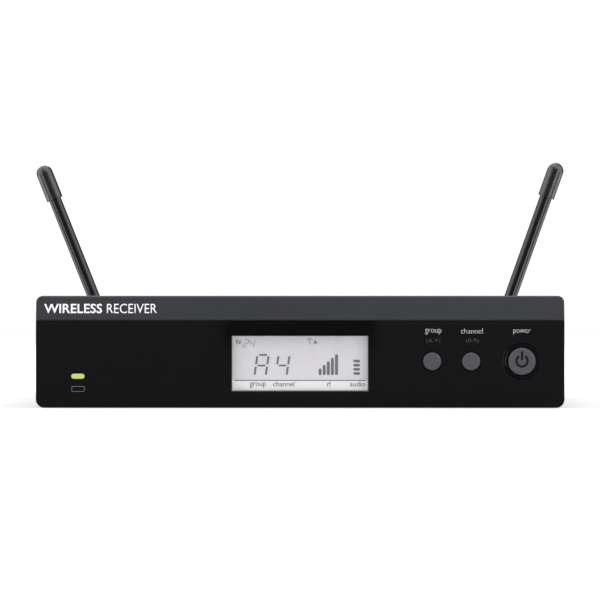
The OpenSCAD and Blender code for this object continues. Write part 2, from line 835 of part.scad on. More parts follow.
// Right-angle moulding: a socket for the plug, a spigot that carries its pin, and a tapered neck
module elbow(side) {
    r = elbow_r;
    color([0.08, 0.08, 0.085]) in_antenna(side) difference() {
        union() {
            difference() {
                union() {
                    translate([0, rod_y, 0]) rotate_extrude()
                        polygon([[0, -7], [r - 2, -7], [r - 0.6, -6.4], [r, -5], [r, 7], [r - 1, 9],
                            [3.6, 20], [3.3, 21], [0, 21]]);
                    bar_y([0, 0], r, rear_y + elbow_face, rod_y);
                }
                bar_y([0, 0], neck_r + clear, rear_y + elbow_face - slack, rear_y + neck_to);
            }
            bar_y([0, 0], spigot_r, rear_y + spigot_from, rod_y);
        }
        bar_y([0, 0], pin_r + clear, rear_y, rod_y);
        translate([0, rod_y, rod_from - 2 * clear]) cylinder(h = 20, r = rod_d / 2 + clear);
    }
}

// Outer sleeve and centre pin of the plug
module plug(side) {
    color([0.75, 0.75, 0.75]) in_antenna(side) {
        difference() {
            union() {
                bar_y([0, 0], sleeve_r, rear_y + sleeve_from, rear_y + shoulder[0]);
                bar_y([0, 0], shoulder_r, rear_y + shoulder[0], rear_y + shoulder[1]);
                bar_y([0, 0], neck_r, rear_y + shoulder[1], rear_y + neck_to);
            }
            bar_y([0, 0], sleeve_bore_r, rear_y, rear_y + spigot_from - 2 * clear);
            bar_y([0, 0], spigot_r + clear, rear_y, rear_y + neck_to + slack);
        }
        bar_y([0, 0], pin_r, rear_y + 5.2, rod_y - 0.5);
    }
}

// Knurled bayonet nut: two entry slots lead into a ring groove, and a hole shows each locked lug
module plug_nut(side) {
    color([0.75, 0.75, 0.75]) translate([side * jack_x, rear_y, jack_z]) difference() {
        union() {
            bar_y([0, 0], nut_r - 0.5, nut_from, nut_to);
            along_y(nut_from + 4.6, nut_to - 1) knurl(nut_r, 0.35, 36);
        }
        bar_y([0, 0], barrel_r + 0.12, nut_from - slack, spigot_from);
        bar_y([0, 0], groove_r, nut_from + 1.8, nut_from + 4.2);
        bar_y([0, 0], shoulder_r + 2 * clear, spigot_from, nut_to - 1);
        bar_y([0, 0], neck_r + 2 * clear, spigot_from, nut_to + slack);
        block([-groove_r, nut_from - slack, -lug_r - 0.2], [groove_r, nut_from + 2, lug_r + 0.2]);
        translate([0, lug_y, -10]) cylinder(h = 20, r = lug_r + 0.2);
    }
}

// ---------- parts ----------

// Moves a part so that the origin is the middle of the outline
module placed() {
    translate([middle_x, 0, 0]) children();
}

placed() front_bezel();
placed() front_panel();
placed() display_window();
placed() lcd_glass();
placed() lcd_backlight();
placed() lcd_frame();
placed() lcd_contact_strip();
placed() led_light_pipe();
placed() status_led();
placed() control_board();
placed() control_board_screws();
placed() tact_switches();
placed() push_button(group_x, button_d, button_proud);  // group_button
placed() push_button(channel_x, button_d, button_proud);  // channel_button
placed() push_button(power_x, power_d, power_proud);  // power_button
placed() switch_plunger(group_x);  // group_plunger
placed() switch_plunger(channel_x);  // channel_plunger
placed() switch_plunger(power_x);  // power_plunger
placed() bezel_screws();
placed() chassis_tray();
placed() rear_panel();
placed() top_cover();
placed() case_screws();
placed() rubber_feet();
placed() rack_nuts();
placed() main_board();
placed() board_standoffs();
placed() main_board_screws();
placed() shield_cans();
placed() capacitors();
placed() ic_packages();
placed() regulator();
placed() ribbon_cable();
placed() ribbon_connectors();
placed() jack_housings();
placed() jack_barrels();
placed() jack_dielectrics();
placed() jack_contacts();
placed() jack_nuts();
placed() xlr_housing();
placed() xlr_pins();
placed() xlr_screws();
placed() phone_jack_housing();
placed() phone_jack_bushing();
placed() phone_jack_nut();
placed() phone_jack_contacts();
placed() dc_jack_housing();
placed() dc_jack_pin();
placed() cord_hook();
placed() rod(-1);  // left_rod
placed() rod(1);  // right_rod
placed() tip(-1);  // left_tip
placed() tip(1);  // right_tip
placed() elbow(-1);  // left_elbow
placed() elbow(1);  // right_elbow
placed() plug(-1);  // left_plug
placed() plug(1);  // right_plug
placed() plug_nut(-1);  // left_plug_nut
placed() plug_nut(1);  // right_plug_nut
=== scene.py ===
"""Looks of the wireless receiver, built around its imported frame.

Lengths are in metres; a number times MM is a length in millimetres.
"""

import json
import math

import bmesh
import bpy
from mathutils import Matrix, Vector


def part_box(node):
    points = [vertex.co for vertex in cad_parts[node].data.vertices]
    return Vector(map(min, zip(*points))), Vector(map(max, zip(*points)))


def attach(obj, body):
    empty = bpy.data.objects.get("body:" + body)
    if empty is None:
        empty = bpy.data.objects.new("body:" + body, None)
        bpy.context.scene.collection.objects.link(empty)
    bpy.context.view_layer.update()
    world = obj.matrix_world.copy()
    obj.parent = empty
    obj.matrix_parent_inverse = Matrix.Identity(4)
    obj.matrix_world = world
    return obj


MM = 0.001

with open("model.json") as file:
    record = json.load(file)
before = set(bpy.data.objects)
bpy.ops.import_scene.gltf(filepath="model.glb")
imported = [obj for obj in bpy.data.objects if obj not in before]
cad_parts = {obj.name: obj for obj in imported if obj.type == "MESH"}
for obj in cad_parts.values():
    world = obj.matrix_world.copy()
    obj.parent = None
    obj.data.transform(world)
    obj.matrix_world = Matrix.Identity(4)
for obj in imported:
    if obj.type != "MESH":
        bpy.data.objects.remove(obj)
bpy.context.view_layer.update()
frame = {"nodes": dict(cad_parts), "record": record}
nodes = frame["nodes"]
scene = bpy.context.scene


def middle(node):
    """Middle of a CAD part's box."""
    low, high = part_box(node)
    return (low + high) / 2


# ---------- places, all taken from the frame ----------

PANEL_LOW, PANEL_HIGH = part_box("front_panel")
BEZEL_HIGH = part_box("front_bezel")[1]
WINDOW_LOW, WINDOW_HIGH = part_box("display_window")
GLASS_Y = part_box("lcd_glass")[0].y  # front of the display's glass
FACE_Y = PANEL_LOW.y  # front of the gloss panel
CENTRE_X = (PANEL_LOW.x + PANEL_HIGH.x) / 2  # the case's own centre line
REAR_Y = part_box("rear_panel")[1].y
WINDOW = (WINDOW_LOW + WINDOW_HIGH) / 2
RULE_Z = WINDOW_LOW.z + 4.07 * MM  # the line that the display draws over its captions

# ---------- camera ----------

CAMERA_REACH = 1.2  # from the front panel's face
FRAMED_WIDTH = 223.5 * MM  # width of what the camera takes in, at the front panel's face
CAMERA_SIDE = 9.1 * MM  # to the right of the case's centre line
CAMERA_HEIGHT = 40.4 * MM
SENSOR = 36  # width of the camera's sensor, in mm


def make_camera():
    """Level camera in front, a little to the right, that looks at the case's centre line."""
    data = bpy.data.cameras.new("camera")
    camera = bpy.data.objects.new("camera", data)
    scene.collection.objects.link(camera)
    data.sensor_width = SENSOR
    data.lens = SENSOR * CAMERA_REACH / FRAMED_WIDTH
    data.clip_start, data.clip_end = 0.05, 50
    camera.location = (CENTRE_X + CAMERA_SIDE, FACE_Y - CAMERA_REACH, CAMERA_HEIGHT)
    aim = Vector((CENTRE_X, FACE_Y, CAMERA_HEIGHT)) - camera.location
    camera.rotation_euler = aim.to_track_quat("-Z", "Y").to_euler()
    scene.camera = camera


make_camera()

# ---------- materials ----------

NOISE_LOW, NOISE_HIGH = 0.3, 0.7  # nearly all of a noise's values lie between these


class Look:
    """A Principled material with helpers that wire procedural detail into it."""

    def __init__(self, name, colour, roughness, metallic=0.0, **sockets):
        self.material = bpy.data.materials.new(name)
        self.material.use_nodes = True
        self.tree = self.material.node_tree
        self.shader = self.tree.nodes["Principled BSDF"]
        self.colour = (*colour, 1.0)
        self.roughness = roughness
        self.shader.inputs["Base Color"].default_value = self.colour
        self.shader.inputs["Roughness"].default_value = roughness
        self.shader.inputs["Metallic"].default_value = metallic
        for socket, value in sockets.items():
            self.shader.inputs[socket.replace("_", " ")].default_value = value
        self.place = self.tree.nodes.new("ShaderNodeTexCoord").outputs["Object"]

    def link(self, output, target):
        self.tree.links.new(output, target)

    def noise(self, grain_mm, detail=3.0, stretch=(1, 1, 1)):
        """Noise whose largest blobs are about grain_mm across."""
        mapping = self.tree.nodes.new("ShaderNodeMapping")
        mapping.inputs["Scale"].default_value = stretch
        self.link(self.place, mapping.inputs["Vector"])
        texture = self.tree.nodes.new("ShaderNodeTexNoise")
        texture.inputs["Scale"].default_value = 1 / (grain_mm * MM)
        texture.inputs["Detail"].default_value = detail
        self.link(mapping.outputs["Vector"], texture.inputs["Vector"])
        return texture.outputs["Fac"]

    def cells(self, grain_mm):
        """Round-bottomed cells about grain_mm across, for moulded or sprayed grain."""
        texture = self.tree.nodes.new("ShaderNodeTexVoronoi")
        texture.feature = "SMOOTH_F1"
        texture.inputs["Scale"].default_value = 1 / (grain_mm * MM)
        self.link(self.place, texture.inputs["Vector"])
        return texture.outputs["Distance"]

    def remap(self, value, low, high, from_low=NOISE_LOW, from_high=NOISE_HIGH):
        """Spreads a value's range over low to high, and holds it there."""
        node = self.tree.nodes.new("ShaderNodeMapRange")
        node.inputs["From Min"].default_value = from_low
        node.inputs["From Max"].default_value = from_high
        node.inputs["To Min"].default_value = low
        node.inputs["To Max"].default_value = high
        self.link(value, node.inputs["Value"])
        return node.outputs["Result"]

    def axes(self):
        """Place on the object, one output for each of X, Y and Z."""
        split = self.tree.nodes.new("ShaderNodeSeparateXYZ")
        self.link(self.place, split.inputs["Vector"])
        return split.outputs

    def maths(self, operation, first, second=None):
        """Arithmetic on one or two values, each a number or an output."""
        node = self.tree.nodes.new("ShaderNodeMath")
        node.operation = operation
        for value, socket in zip((first, second), node.inputs):
            if isinstance(value, (int, float)):
                socket.default_value = value
            elif value is not None:
                self.link(value, socket)
        return node.outputs["Value"]

    def tint(self, factor, other, amount=1.0, from_low=NOISE_LOW, from_high=NOISE_HIGH):
        """Mixes the base colour towards another by a factor from 0 to amount."""
        mix = self.tree.nodes.new("ShaderNodeMix")
        mix.data_type = "RGBA"
        self.link(self.remap(factor, 0, amount, from_low, from_high), mix.inputs["Factor"])
        source = self.shader.inputs["Base Color"]
        if source.is_linked:
            self.link(source.links[0].from_socket, mix.inputs["A"])
        else:
            mix.inputs["A"].default_value = self.colour
        mix.inputs["B"].default_value = (*other, 1.0)
        self.link(mix.outputs["Result"], source)
        return self

    def glow(self, strength):
        """Gives off its own base colour, which has to be tinted by then."""
        source = self.shader.inputs["Base Color"].links[0].from_socket
        self.link(source, self.shader.inputs["Emission Color"])
        self.shader.inputs["Emission Strength"].default_value = strength
        return self

    def polish(self, factor, spread):
        """Roughness wanders by spread each way."""
        wander = self.remap(factor, self.roughness - spread, self.roughness + spread)
        self.link(wander, self.shader.inputs["Roughness"])
        return self

    def bump(self, height, depth_mm):
        """Shades the surface as if raised by depth_mm, over any bump it has already."""
        node = self.tree.nodes.new("ShaderNodeBump")
        node.inputs["Distance"].default_value = depth_mm * MM
        self.link(height, node.inputs["Height"])
        before = self.shader.inputs["Normal"]
        if before.is_linked:
            self.link(before.links[0].from_socket, node.inputs["Normal"])
        self.link(node.outputs["Normal"], before)
        return self


def moulded(name, colour, roughness, grain_mm=0.35, depth_mm=0.012, lighter=1.5):
    """Satin plastic with a fine spark-eroded grain and faint blotches from handling."""
    look = Look(name, colour, roughness)
    look.tint(look.noise(9, 4), [c * lighter for c in colour], 0.35)
    look.polish(look.noise(4, 3), 0.05)
    look.bump(look.cells(grain_mm), depth_mm)
    return look.material


def bezel_plastic():
    """Dark blue-grey moulding with a sprayed grain over a slight waviness."""
    look = Look("bezel_plastic", (0.0192, 0.0205, 0.0258), 0.5, Specular_IOR_Level=0.45)
    look.tint(look.noise(16, 4), (0.0225, 0.0242, 0.03), 0.6)
    look.polish(look.noise(3, 3), 0.05)
    look.bump(look.cells(0.28), 0.012)
    look.bump(look.noise(0.9, 2), 0.008)
    return look.material


def panel_gloss():
    """Polished black moulding with faint wiping marks, and a painted darker reflection in a soft patch
    over the display.
    """
    look = Look("panel_gloss", (0.0036, 0.0036, 0.0043), 0.09, Specular_IOR_Level=0.34)
    look.tint(look.noise(40, 2), (0.0043, 0.0043, 0.005), 0.7)
    place = look.axes()
    # Painted reflection: the base colour darkens in a soft patch beside and above the display's window.
    aside = look.maths("ABSOLUTE", look.maths("SUBTRACT", place["X"], WINDOW.x))
    half = (WINDOW_HIGH.x - WINDOW_LOW.x) / 2
    full, gone = half + 1.2 * MM, half + 5.5 * MM  # where the painted darker reflection starts to fade, and ends
    dark_reflection_across = look.remap(aside, 1, 0, full, gone)
    dark_reflection_up = look.remap(place["Z"], 0, 1, WINDOW.z, WINDOW_HIGH.z + 1 * MM)
    look.tint(look.maths("MULTIPLY", dark_reflection_across, dark_reflection_up), (0.0006, 0.0006, 0.0008), 1, 0, 1)
    look.polish(look.noise(7, 5, stretch=(0.25, 1, 1)), 0.03)
    look.bump(look.noise(14, 1), 0.004)
    return look.material


def window_clear():
    """Clear window: shows what is behind it and adds only a weak gloss."""
    look = Look("window_clear", (0.9, 0.9, 0.92), 0.06, Alpha=0.06)
    look.polish(look.noise(6, 4), 0.02)
    return look.material


def lcd_film():
    """Display film: pale and faintly mottled, with a painted shade that darkens it towards the top, a
    painted lighter band under the display's rule and a faint painted glow.
    """
    look = Look("lcd_film", (0.362, 0.353, 0.365), 0.55)
    height = look.axes()["Z"]
    lit_band_fade = 0.6 * MM  # how far the painted lighter band fades past the rule
    # Painted shade: the film darkens from the rule up to the window's top.
    look.tint(height, (0.44, 0.428, 0.442), 1, WINDOW_HIGH.z, RULE_Z)
    # Painted light: under the rule the film is lighter still.
    look.tint(height, (0.6, 0.59, 0.602), 1, RULE_Z + lit_band_fade, RULE_Z - lit_band_fade)
    look.tint(look.noise(3.5, 3), (0.52, 0.497, 0.515), 0.25)
    look.bump(look.noise(0.25, 2), 0.004)
    # Painted glow, which evens out the film's shading.
    look.glow(0.28)
    return look.material


def lcd_ink(name, colour):
    """Darkened liquid crystal, slightly uneven."""
    look = Look(name, colour, 0.45)
    look.tint(look.noise(1.2, 2), [c * 1.25 for c in colour], 0.5)
    return look.material


def printed_ink(name, colour, shine=0.5):
    """Screen-printed ink: matte, with slightly uneven cover."""
    look = Look(name, colour, 0.6, Specular_IOR_Level=shine)
    look.tint(look.noise(0.8, 3), [c * 0.86 for c in colour], 0.6)
    look.bump(look.noise(0.15, 2), 0.003)
    return look.material


def led_lens():
    """Lit light pipe: glows almost evenly."""
    look = Look("led_lens", (0.325, 0.4, 0.083), 0.3)
    look.tint(look.noise(1.5, 2), (0.39, 0.45, 0.12), 0.6)
    look.glow(0.45)
    return look.material


def powder_coat():
    """Black powder coat on steel: fine orange peel over a slight waviness."""
    look = Look("powder_coat", (0.0085, 0.0085, 0.0094), 0.46, Specular_IOR_Level=0.38)
    look.tint(look.noise(0.5, 3), (0.0145, 0.0145, 0.016), 0.6)
    look.polish(look.noise(1.1, 3), 0.08)
    look.bump(look.noise(0.7, 2), 0.02)
    look.bump(look.noise(5, 2), 0.02)
    return look.material


def plated(name, colour, roughness, spin_mm=0.12, depth_mm=0.0006):
    """Turned or pressed plating with fine tool marks and slight dulling."""
    look = Look(name, colour, roughness, metallic=1.0)
    look.tint(look.noise(9, 3), [c * 0.85 for c in colour], 0.6)
    look.polish(look.noise(4, 3), 0.05)
    look.bump(look.noise(spin_mm, 3), depth_mm)
    return look.material


def rubber(name, colour):
    """Dull rubber with a fine grain."""
    look = Look(name, colour, 0.7)
    look.tint(look.noise(3, 4), [c * 1.5 for c in colour], 0.5)
    look.polish(look.noise(1.5, 3), 0.05)
    look.bump(look.noise(0.22, 3), 0.004)
    return look.material


def rod_sleeve():
    """Extruded sleeve: smooth satin with a very slight unevenness."""
    look = Look("rod_sleeve", (0.0026, 0.0026, 0.0036), 0.27, Specular_IOR_Level=0.45)
    look.tint(look.noise(6, 3), (0.0038, 0.0038, 0.0048), 0.5)
    look.polish(look.noise(2.5, 3), 0.04)
    look.bump(look.noise(0.5, 2), 0.0015)
    return look.material


def cap_rubber():
    """Smooth moulded rubber with a soft sheen and a very fine grain."""
    look = Look("cap_rubber", (0.0048, 0.0048, 0.0056), 0.32, Specular_IOR_Level=0.65)
    look.tint(look.noise(5, 3), (0.0065, 0.0065, 0.0075), 0.5)
    look.polish(look.noise(2, 3), 0.04)
    look.bump(look.noise(0.2, 2), 0.0012)
    return look.material


def circuit_board():
    """Green solder mask over a patchwork of copper."""
    look = Look("circuit_board", (0.008, 0.075, 0.03), 0.35)
    look.tint(look.cells(2.4), (0.02, 0.13, 0.055), 0.9)
    look.bump(look.cells(1.1), 0.02)
    return look.material


def chip_resin():
    """Matt moulded resin of an integrated circuit."""
    look = Look("chip_resin", (0.014, 0.014, 0.015), 0.6)
    look.tint(look.noise(0.8, 3), (0.03, 0.03, 0.032), 0.5)
    look.bump(look.noise(0.12, 2), 0.006)
    return look.material


def sleeved_can():
    """Shrunk dark blue sleeve of a capacitor."""
    look = Look("sleeved_can", (0.012, 0.012, 0.045), 0.3)
    look.tint(look.noise(3, 2), (0.02, 0.02, 0.07), 0.6)
    look.bump(look.noise(1.5, 2), 0.01)
    return look.material


def milky(name, colour):
    """Pale plastic that light enters a little way."""
    look = Look(name, colour, 0.5, Subsurface_Weight=0.2)
    look.shader.inputs["Subsurface Scale"].default_value = 0.5 * MM
    look.tint(look.noise(2, 3), [c * 0.93 for c in colour], 0.7)
    look.bump(look.noise(0.4, 2), 0.004)
    return look.material


def ribbon_vinyl():
    """Flat cable: its parallel conductors show as fine ribs."""
    pitch = 1.27 * MM  # from conductor to conductor
    bands = 3.2  # of the texture in a unit of length, at a scale of 1
    look = Look("ribbon_vinyl", (0.42, 0.42, 0.45), 0.45)
    wave = look.tree.nodes.new("ShaderNodeTexWave")
    wave.inputs["Scale"].default_value = 1 / (pitch * bands)
    look.link(look.place, wave.inputs["Vector"])
    look.tint(wave.outputs["Fac"], (0.3, 0.3, 0.33), 0.6)
    look.bump(wave.outputs["Fac"], 0.2)
    return look.material


LOOKS = {  # by the material slot that a CAD part names in the record
    "bezel_plastic": bezel_plastic(),
    "panel_gloss": panel_gloss(),
    "window_clear": window_clear(),
    "lcd": lcd_film(),
    "diffuser": milky("diffuser", (0.78, 0.8, 0.78)),
    "white_plastic": milky("white_plastic", (0.78, 0.78, 0.75)),
    "contact_rubber": rubber("contact_rubber", (0.35, 0.16, 0.18)),
    "led_lens": led_lens(),
    "circuit_board": circuit_board(),
    "switch_plastic": moulded("switch_plastic", (0.018, 0.018, 0.018), 0.45),
    "button_plastic": moulded("button_plastic", (0.0555, 0.057, 0.064), 0.5, 0.2, 0.008, 1.12),
    "bright_steel": plated("bright_steel", (0.62, 0.61, 0.58), 0.32),
    "black_steel": plated("black_steel", (0.035, 0.035, 0.037), 0.42),
    "case_paint": powder_coat(),
    "foot_rubber": rubber("foot_rubber", (0.012, 0.012, 0.012)),
    "shield_tin": plated("shield_tin", (0.6, 0.6, 0.6), 0.38, 0.4),
    "capacitor_sleeve": sleeved_can(),
    "chip_resin": chip_resin(),
    "heat_sink": plated("heat_sink", (0.05, 0.05, 0.055), 0.45),
    "ribbon_vinyl": ribbon_vinyl(),
    "nylon": milky("nylon", (0.68, 0.64, 0.52)),
    "black_nylon": moulded("black_nylon", (0.012, 0.012, 0.0125), 0.48, 0.3),
    "nickel": plated("nickel", (0.74, 0.71, 0.66), 0.3, 0.6, 0.0001),
    "white_polymer": milky("white_polymer", (0.8, 0.8, 0.79)),
    "gold_contact": plated("gold_contact", (0.83, 0.58, 0.22), 0.22),
    "silver_pin": plated("silver_pin", (0.75, 0.74, 0.71), 0.2),
    "rod_sheath": rod_sleeve(),
    "cap_rubber": cap_rubber(),
    "elbow_plastic": moulded("elbow_plastic", (0.013, 0.013, 0.014), 0.5, 0.4),
}


def dress_nodes():
    """Gives every CAD part the material of its slot."""
    for row in frame["record"]["subparts"]:
        for slot in nodes[row["node"]].material_slots:
            slot.material = LOOKS[row["material_slot"]]


dress_nodes()

# ---------- rounded edges on the CAD parts ----------

SHARP_ANGLE = math.radians(35)  # an edge that turns by more is a true edge
FLAT_ANGLE = math.radians(0.5)  # faces that turn by less are joined into one
WELD = 0.002 * MM  # corners closer than this are one corner


def tidy_group():
    """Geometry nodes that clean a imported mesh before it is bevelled.

    They join its split corners, drop its stored normals and mark its true edges sharp.
    """
    group = bpy.data.node_groups.new("tidy_mesh", "GeometryNodeTree")
    group.interface.new_socket("Geometry", in_out="INPUT", socket_type="NodeSocketGeometry")
    group.interface.new_socket("Geometry", in_out="OUTPUT", socket_type="NodeSocketGeometry")
    start = group.nodes.new("NodeGroupInput")
    merge = group.nodes.new("GeometryNodeMergeByDistance")
    merge.inputs["Distance"].default_value = WELD
    forget = group.nodes.new("GeometryNodeRemoveAttribute")
    forget.inputs["Name"].default_value = "custom_normal"
    angle = group.nodes.new("GeometryNodeInputMeshEdgeAngle")
    compare = group.nodes.new("FunctionNodeCompare")
    compare.operation = "LESS_THAN"
    compare.inputs["B"].default_value = SHARP_ANGLE
    smooth = group.nodes.new("GeometryNodeSetShadeSmooth")
    smooth.domain = "EDGE"
    end = group.nodes.new("NodeGroupOutput")
    links = group.links
    links.new(start.outputs[0], merge.inputs["Geometry"])
    links.new(merge.outputs["Geometry"], forget.inputs["Geometry"])
    links.new(angle.outputs["Unsigned Angle"], compare.inputs["A"])
    links.new(forget.outputs["Geometry"], smooth.inputs["Geometry"])
    links.new(compare.outputs["Result"], smooth.inputs["Shade Smooth"])
    links.new(smooth.outputs["Geometry"], end.inputs[0])
    return group


TIDY = tidy_group()


def round_edges(node, radius_mm):
    """Rounds a CAD part's sharp edges by modifiers, so that they catch the light."""
    part = nodes[node]
    part.modifiers.new("tidy", "NODES").node_group = TIDY
    flat = part.modifiers.new("flat", "DECIMATE")
    flat.decimate_type = "DISSOLVE"
    flat.angle_limit = FLAT_ANGLE
    bevel = part.modifiers.new("round", "BEVEL")
    bevel.width = radius_mm * MM
    bevel.segments = 2
    bevel.limit_method = "ANGLE"
    bevel.angle_limit = SHARP_ANGLE
    bevel.use_clamp_overlap = False
    bevel.loop_slide = False
    normals = part.modifiers.new("normals", "WEIGHTED_NORMAL")
    normals.keep_sharp = False
    normals.weight = 100


ROUNDED = {  # radius in mm
    "front_panel": 0.12,
    "front_bezel": 0.25,
    "top_cover": 0.3,
    "rear_panel": 0.12,
    "cord_hook": 0.3,
    "xlr_housing": 0.25,
    "group_button": 0.12,
    "channel_button": 0.12,
    "power_button": 0.12,
}
for rounded_node, rounded_radius in ROUNDED.items():
    round_edges(rounded_node, rounded_radius)

# ---------- flat pieces: ink, display segments ----------

INK = 0.02 * MM  # thickness of printed ink and of the display's segments


def piece(name, mesh, material, body):
    """An object of the look's own, which rides a body of the frame."""
    obj = bpy.data.objects.new(name, mesh)
    scene.collection.objects.link(obj)
    mesh.materials.clear()
    mesh.materials.append(material)
    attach(obj, body)
    return obj


def slab(name, outlines, y, material, body):
    """One mesh of thin plates that stand on the plane at y and face the front.

    Each outline is a list of (x, z), counter-clockwise from the front.
    """
    mesh = bpy.data.meshes.new(name)
    work = bmesh.new()
    for outline in outlines:
        back = [work.verts.new((x, y, z)) for x, z in outline]
        front = [work.verts.new((x, y - INK, z)) for x, z in outline]
        work.faces.new(front)
        work.faces.new(back[::-1])
        for i in range(len(outline)):
            j = (i + 1) % len(outline)
            work.faces.new((front[i], back[i], back[j], front[j]))
    bmesh.ops.recalc_face_normals(work, faces=work.faces)
    work.to_mesh(mesh)
    work.free()
    piece(name, mesh, material, body)


def pill(x0, x1, z0, z1):
    """A bar between two corners with fully round ends along its longer side."""
    r = min(x1 - x0, z1 - z0) / 2
    centres = [(x1 - r, z0 + r), (x1 - r, z1 - r), (x0 + r, z1 - r), (x0 + r, z0 + r)]
    steps = 8  # in each quarter circle
    points = []
    for quarter, (cx, cz) in enumerate(centres):
        for i in range(steps + 1):
            a = math.radians(-90 + 90 * quarter + 90 * i / steps)
            points.append((cx + r * math.cos(a), cz + r * math.sin(a)))
    return points


def bar(p, q, width):
    """A straight stroke from p to q."""
    p, q = Vector(p), Vector(q)
    side = (q - p).normalized().orthogonal() * width / 2
    return [tuple(p + side), tuple(p - side), tuple(q - side), tuple(q + side)]


def arc_band(centre, radius, width, start, end, steps=24):
    """A curved stroke along a circle, from start to end in degrees."""
    def at(r, a):
        return (centre[0] + r * math.cos(a), centre[1] + r * math.sin(a))

    angles = [math.radians(start + (end - start) * i / steps) for i in range(steps + 1)]
    outer = [at(radius + width / 2, a) for a in angles]
    inner = [at(radius - width / 2, a) for a in reversed(angles)]
    return outer + inner


SEGMENTS = {"A": "abcefg", "4": "bcfg", "2": "abged"}  # the strokes that each symbol shows
WAIST = 0.46  # height of a digit's middle stroke, as a share of its height
# As shares of an upright stroke's thickness:
LEVEL_HALF = 0.43  # half the thickness of a level stroke
LEVEL_INSET = 0.65  # from the middle of an upright to a level stroke's end
STROKE_GAP = 0.12  # extra space over and under a level stroke


def digit(symbol, x, z, width, height, stroke, slant):
    """A seven-segment symbol whose lower left corner is at x, z. Its level strokes are thinner."""
    waist = height * WAIST
    half = stroke / 2
    flat = stroke * LEVEL_HALF
    gap = flat + stroke * STROKE_GAP

    def lean(px, pz):
        return (x + px + pz * math.tan(slant), z + pz)

    def upright(px, z0, z1):
        return [lean(px - half, z0), lean(px + half, z0), lean(px + half, z1), lean(px - half, z1)]

    def level(pz):
        x0 = stroke * LEVEL_INSET
        x1 = width - x0
        under = [lean(x0 + flat, pz - flat), lean(x1 - flat, pz - flat)]
        over = [lean(x1 - flat, pz + flat), lean(x0 + flat, pz + flat)]
        return [*under, lean(x1, pz), *over, lean(x0, pz)]

    shapes = {
        "a": level(height - flat),
        "d": level(flat),
        "g": level(waist),
        "b": upright(width, waist + gap, height - 2 * gap),
        "c": upright(width, gap / 2, waist - gap),
        "e": upright(0, gap / 2, waist - gap),
        "f": upright(0, waist + gap, height - 2 * gap),
    }
    return [shapes[segment] for segment in SEGMENTS[symbol]]


def text_mesh(name, text, bold):
    """Flat mesh of a text in the font's own units, its outline moved outwards by bold."""
    data = bpy.data.curves.new(name, "FONT")
    data.body = text
    data.resolution_u = 3
    data.offset = bold
    made = bpy.data.objects.new(name + "_outline", data)
    scene.collection.objects.link(made)
    bpy.context.view_layer.update()
    mesh = bpy.data.meshes.new_from_object(made.evaluated_get(bpy.context.evaluated_depsgraph_get()))
    mesh.name = name
    bpy.data.objects.remove(made)
    return mesh


FONT_WELD = 1e-5  # corners of a letter closer than this are one corner, in the font's own units


def lettering(name, text, x, z, width, height, y, material, slot, bold=0.0, facing=-1):
    """Lettering on the case, fitted to a width and a height.

    It stands on the plane at y and faces the front, or the rear if facing is 1. Its lower left
    corner, as one reads it, is at x, z.
    """
    mesh = text_mesh(name, text, bold)
    work = bmesh.new()
    work.from_mesh(mesh)
    bmesh.ops.remove_doubles(work, verts=work.verts, dist=FONT_WELD)
    low = Vector(min(v.co[i] for v in work.verts) for i in range(3))
    high = Vector(max(v.co[i] for v in work.verts) for i in range(3))
    across, up = width / (high.x - low.x), height / (high.y - low.y)
    for v in work.verts:
        v.co = (x - facing * (v.co.x - low.x) * across, y + facing * INK, z + (v.co.y - low.y) * up)
    raised = bmesh.ops.extrude_face_region(work, geom=list(work.faces))
    for v in (g for g in raised["geom"] if isinstance(g, bmesh.types.BMVert)):
        v.co.y = y
    bmesh.ops.recalc_face_normals(work, faces=work.faces)
    work.to_mesh(mesh)
    work.free()
    return piece(name, mesh, material, "case")


WHITE_INK = printed_ink("white_ink", (0.86, 0.86, 0.86))
LABEL_INK = printed_ink("label_ink", (0.92, 0.92, 0.93), 0.3)
BORDER_INK = printed_ink("border_ink", (0.004, 0.004, 0.0045), 0.2)
DIM_INK = printed_ink("dim_ink", (0.1, 0.1, 0.104))
ICON_INK = printed_ink("icon_ink", (0.16, 0.16, 0.165))
SYMBOL_INK = printed_ink("symbol_ink", (0.004, 0.004, 0.005), 0.15)
SEGMENT_INK = lcd_ink("segment_ink", (0.045, 0.046, 0.053))
FAINT_INK = lcd_ink("faint_ink", (0.09, 0.09, 0.098))


# ---------- lettering and signs on the front ----------

STRIP_LEAN = 1.6 * MM  # how far the strip leans back from its foot to its top
WORD_RISE = 2.6 * MM  # of the strip's words, over the strip's foot
WORD_HEIGHT = 3.6 * MM
WORD_LIFT = 0.01 * MM  # off the strip's face
LABEL_BOLD = -0.026  # makes the small letters thinner, so that they stay apart


def strip_print():
    """Plain words for the kind of device, on the strip that leans back."""
    slope = math.atan(STRIP_LEAN / (BEZEL_HIGH.z - PANEL_HIGH.z))
    foot = (0, FACE_Y + WORD_RISE * math.tan(slope) - WORD_LIFT, PANEL_HIGH.z + WORD_RISE)
    onto_strip = Matrix.Translation(foot) @ Matrix.Rotation(-slope, 4, "X")
    words = (  # name, text, left end from the centre line and width in mm, boldness
        ("strip_word_heavy", "WIRELESS", -95.4, 21.6, 0.014),
        ("strip_word_light", "RECEIVER", -72.0, 18.6, -0.004),
    )
    for name, text, left, width, bold in words:
        x = CENTRE_X + left * MM
        word = lettering(name, text, x, 0, width * MM, WORD_HEIGHT, 0, WHITE_INK, "bezel_plastic", bold)
        word.data.transform(onto_strip)


